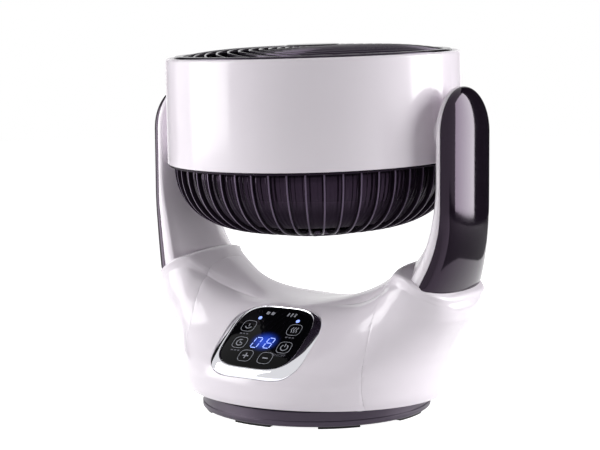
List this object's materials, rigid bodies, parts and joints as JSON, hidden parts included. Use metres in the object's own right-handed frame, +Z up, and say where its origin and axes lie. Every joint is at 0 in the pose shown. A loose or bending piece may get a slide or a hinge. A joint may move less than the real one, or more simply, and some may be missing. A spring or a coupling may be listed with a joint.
{
  "type": "air circulator fan",
  "caption": "Desk air circulator: a drum-shaped fan head tilts between the arms of a saddle-shaped body with a touch panel, which swings on a round base.",
  "frame": {"origin": "on the floor under the middle of the base, which is the swing axis", "axes": "+Z up, the front with the control panel faces -Y, +X to the right as seen from the front; the tilt pivot runs along X"},
  "size_m": [0.3164, 0.2594, 0.3171],
  "materials": {
    "white_shell": "gloss",
    "black_gloss": "gloss",
    "grille_black": "satin",
    "base_grey": "satin",
    "chrome_trim": "mirror",
    "steel": "satin",
    "rubber_black": "matt",
    "bearing_plastic": "matt",
    "circuit_board": "matt",
    "panel_face": "gloss",
    "motor_metal": "satin"
  },
  "bodies": {
    "base": {"base_housing": "base_grey", "base_bottom_cover": "grille_black", "foot_1": "rubber_black", "foot_2": "rubber_black", "foot_3": "rubber_black", "foot_4": "rubber_black", "foot_5": "rubber_black", "foot_6": "rubber_black", "foot_7": "rubber_black", "foot_8": "rubber_black", "thrust_ring": "bearing_plastic", "base_screw_1": "steel", "base_screw_2": "steel", "base_screw_3": "steel", "sun_gear": "bearing_plastic"},
    "yoke": {"body_front_shell": "white_shell", "body_rear_shell": "white_shell", "yoke_plate": "base_grey", "body_screw_1": "steel", "body_screw_2": "steel", "body_screw_3": "steel", "body_screw_4": "steel", "swing_motor": "motor_metal", "power_board": "circuit_board", "cord_gland": "rubber_black", "panel_bezel": "chrome_trim", "panel_glass": "panel_face", "display_module": "grille_black", "control_board": "circuit_board", "arm_left_shell": "white_shell", "arm_left_cover": "black_gloss", "pivot_washer_left": "bearing_plastic", "pivot_bush_left": "bearing_plastic", "arm_right_shell": "white_shell", "arm_right_cover": "black_gloss", "pivot_washer_right": "bearing_plastic", "pivot_bush_right": "bearing_plastic"},
    "pinion": {"drive_pinion": "bearing_plastic"},
    "head": {"head_shroud": "white_shell", "pivot_shaft_left": "steel", "pivot_shaft_right": "steel", "front_grille": "grille_black", "front_hub_cap": "black_gloss", "rear_grille": "grille_black", "rear_hub_cap": "grille_black", "dust_screen": "grille_black", "hub_screw_1": "steel", "hub_screw_2": "steel", "hub_screw_3": "steel", "motor_pod": "black_gloss", "fan_motor": "motor_metal", "inner_duct": "black_gloss"},
    "rotor": {"impeller": "grille_black", "fan_shaft": "steel", "spinner_nut": "grille_black"}
  },
  "joints": [
    {"name": "swing", "type": "hinge", "parent": "base", "child": "yoke", "pos_m": [0, 0, 0.02], "axis": [0, 0, 1], "range_deg": [-40, 40]},
    {"name": "pinion_turn", "type": "hinge", "parent": "yoke", "child": "pinion", "pos_m": [0.036, 0, 0.03], "axis": [0, 0, 1], "range_deg": [-205, 205]},
    {"name": "tilt", "type": "hinge", "parent": "yoke", "child": "head", "pos_m": [0, 0, 0.242], "axis": [1, 0, 0], "range_deg": [-2.4, 87.6]},
    {"name": "impeller_spin", "type": "hinge", "parent": "head", "child": "rotor", "pos_m": [0, 0, 0.242], "axis": [0, -0.0419, 0.9991], "continuous": true}
  ],
  "couplings": [
    {"joint": "pinion_turn", "follows": "swing", "ratio": 5}
  ]
}
